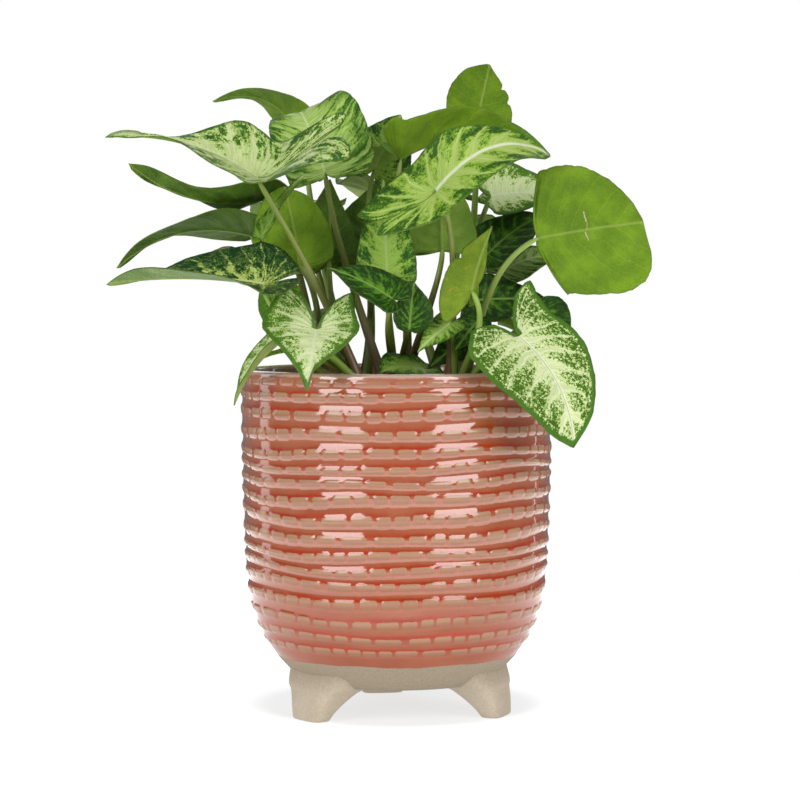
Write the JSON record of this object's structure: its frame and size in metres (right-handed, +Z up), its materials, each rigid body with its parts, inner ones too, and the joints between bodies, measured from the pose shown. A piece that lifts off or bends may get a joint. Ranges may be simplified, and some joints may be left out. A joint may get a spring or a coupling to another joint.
{
  "type": "potted arrowhead plant",
  "caption": "Bushy arrowhead plant with pale, marbled leaves on arching stalks, in a ribbed coral glazed pot on small feet.",
  "frame": {"origin": "on the floor, under the middle of the plant's box; the pot's axis stands 8 mm to +X and 12 mm to -Y of it", "axes": "+Z up along the pot's axis, -Y towards the plant's front, +X to its right as seen from the front"},
  "size_m": [0.2389, 0.1965, 0.2921],
  "materials": {
    "pot_glaze": "gloss",
    "soil": "matte",
    "leaf_pale": "satin",
    "leaf_mottled": "satin",
    "leaf_green": "satin",
    "leaf_dark": "satin",
    "stalk": "satin"
  },
  "bodies": {
    "root": {"pot": "pot_glaze", "soil": "soil", "leaf_01": "leaf_pale", "leaf_02": "leaf_mottled", "leaf_03": "leaf_green", "leaf_04": "leaf_green", "leaf_05": "leaf_green", "leaf_06": "leaf_dark", "leaf_07": "leaf_green", "leaf_08": "leaf_mottled", "leaf_09": "leaf_pale", "leaf_10": "leaf_green", "leaf_11": "leaf_green", "leaf_12": "leaf_green", "leaf_13": "leaf_dark", "leaf_14": "leaf_mottled", "leaf_15": "leaf_pale", "leaf_16": "leaf_green", "leaf_17": "leaf_green", "leaf_18": "leaf_pale", "leaf_19": "leaf_green", "leaf_20": "leaf_dark", "leaf_21": "leaf_mottled", "leaf_22": "leaf_pale", "leaf_23": "leaf_dark", "leaf_24": "leaf_dark", "leaf_25": "leaf_green", "leaf_26": "leaf_green", "leaf_27": "leaf_dark", "leaf_28": "leaf_mottled", "leaf_29": "leaf_dark", "leaf_30": "leaf_dark", "leaf_31": "leaf_dark", "leaf_32": "leaf_dark", "leaf_33": "leaf_mottled", "leaf_34": "leaf_dark", "leaf_35": "leaf_mottled", "leaf_36": "leaf_pale", "leaf_37": "leaf_green", "leaf_38": "leaf_mottled", "leaf_39": "leaf_green", "leaf_40": "leaf_pale", "leaf_41": "leaf_mottled", "crown_front": "stalk", "crown_left": "stalk", "crown_centre": "stalk", "crown_right": "stalk", "crown_back_left": "stalk", "crown_back_right": "stalk"}
  },
  "joints": []
}
